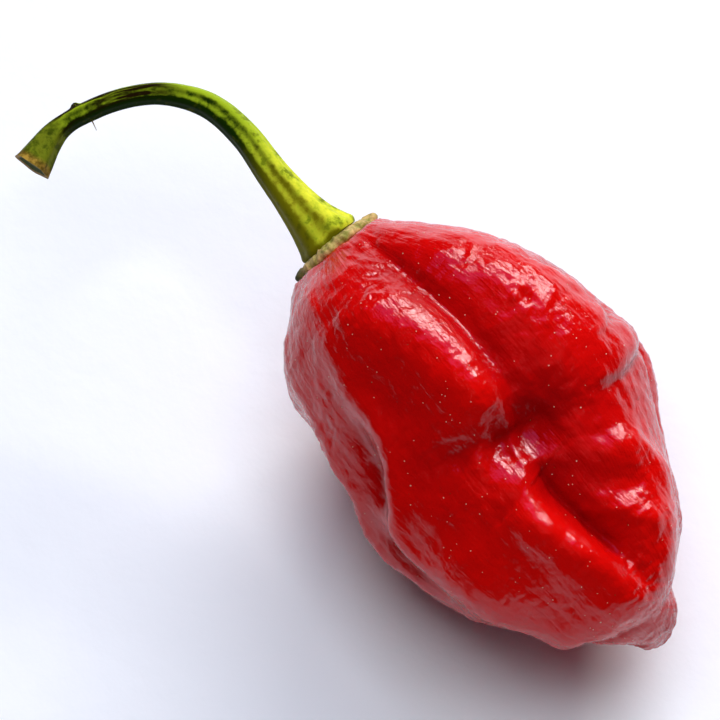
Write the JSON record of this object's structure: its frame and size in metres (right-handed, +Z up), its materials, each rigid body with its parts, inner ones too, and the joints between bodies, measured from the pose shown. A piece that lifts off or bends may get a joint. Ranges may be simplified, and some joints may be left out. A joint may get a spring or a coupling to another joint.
{
  "type": "chilli pepper",
  "caption": "Fresh red chilli pepper lying on its side, a short wrinkled lobed pod with its calyx and a long curved green stalk.",
  "frame": {"origin": "middle of the small flat spot on the pod's underside that the pepper rests on", "axes": "+X from the calyx towards the pod's tip, +Z up from the surface it lies on, with the stalk's cut end towards -Y"},
  "size_m": [0.0796, 0.0368, 0.0322],
  "materials": {
    "pod_skin": "glossy waxy fruit skin",
    "calyx": "dry corky rim",
    "stalk": "smooth satin plant stem"
  },
  "bodies": {
    "root": {"pod": "pod_skin", "calyx": "calyx", "stalk": "stalk"}
  },
  "joints": []
}
